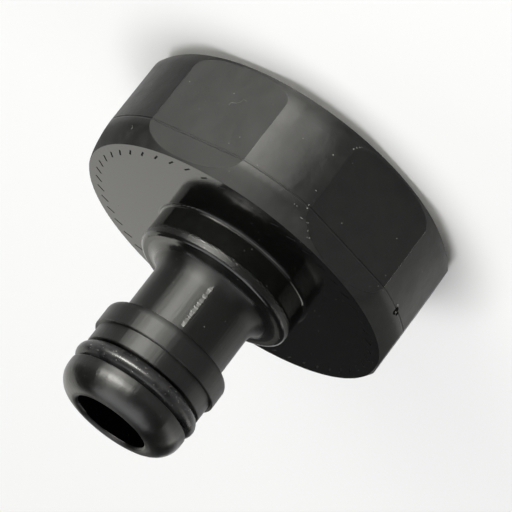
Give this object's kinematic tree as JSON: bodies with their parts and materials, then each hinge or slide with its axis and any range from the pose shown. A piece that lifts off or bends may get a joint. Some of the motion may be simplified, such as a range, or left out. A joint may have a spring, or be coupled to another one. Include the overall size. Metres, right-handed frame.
{
  "type": "garden hose adapter",
  "caption": "Plastic adapter that screws on a garden tap or pump: flatted nut with a female pipe thread at one end, quick-connect nipple with an O-ring at the other.",
  "frame": {"origin": "centre of the nut's open end", "axes": "+Z along the axis towards the nose of the nipple, +X square to one flat of the nut"},
  "size_m": [0.0432, 0.0454, 0.0407],
  "materials": {
    "adapter_body": "satin black moulding, polished front face",
    "nipple_o_ring": "smooth black rubber",
    "thread_washer": "plain black rubber"
  },
  "bodies": {
    "root": {"adapter_body": "adapter_body", "nipple_o_ring": "nipple_o_ring", "thread_washer": "thread_washer"}
  },
  "joints": []
}
